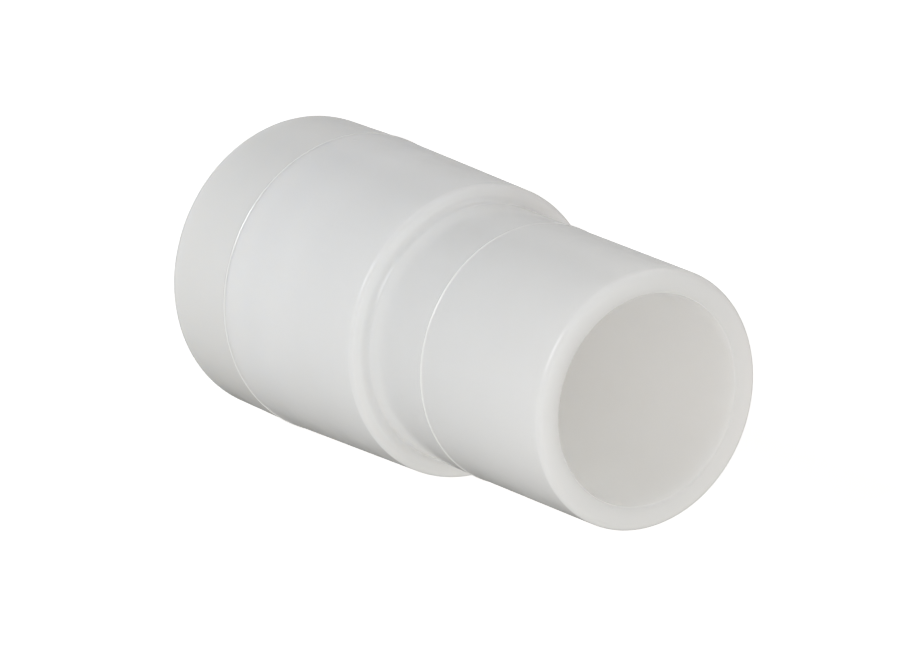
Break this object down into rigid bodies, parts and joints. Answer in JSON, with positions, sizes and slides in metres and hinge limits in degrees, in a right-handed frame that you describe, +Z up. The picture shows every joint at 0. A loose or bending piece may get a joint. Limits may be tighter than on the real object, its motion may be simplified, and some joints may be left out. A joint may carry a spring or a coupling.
{
  "type": "push fit coupling",
  "caption": "Stepped translucent push-fit coupling: a plain tapered stem at one end, and a wider socket at the other with a seal, a toothed grip and a sliding release collet.",
  "frame": {"origin": "on the bore axis in the plane of the pipe stop, where a pipe pushed into the socket comes to rest", "axes": "+X along the bore axis out of the stem, -X out of the socket's mouth, +Z up with the coupling lying on its side"},
  "size_m": [0.0663, 0.0334, 0.0334],
  "materials": {
    "natural_polymer": "waxy translucent moulding, satin",
    "collet_polymer": "denser white moulding, smooth",
    "seal_rubber": "translucent silicone rubber, lightly greased",
    "spring_steel": "stamped stainless strip"
  },
  "bodies": {
    "housing": {"coupling_body": "natural_polymer", "retaining_cap": "natural_polymer", "seal_ring": "seal_rubber", "spacer_ring": "collet_polymer", "backing_ring": "collet_polymer"},
    "gripper": {"grab_ring": "spring_steel"},
    "collet": {"release_collet": "collet_polymer"}
  },
  "joints": [
    {"name": "grip_swivel", "type": "hinge", "parent": "housing", "child": "gripper", "pos_m": [-0.02375, 0, 0], "axis": [1, 0, 0], "continuous": true},
    {"name": "collet_press", "type": "slide", "parent": "gripper", "child": "collet", "axis": [1, 0, 0], "range_m": [0, 0.0015], "stiffness_N_per_m": 1500, "deforming": ["grab_ring"]}
  ]
}
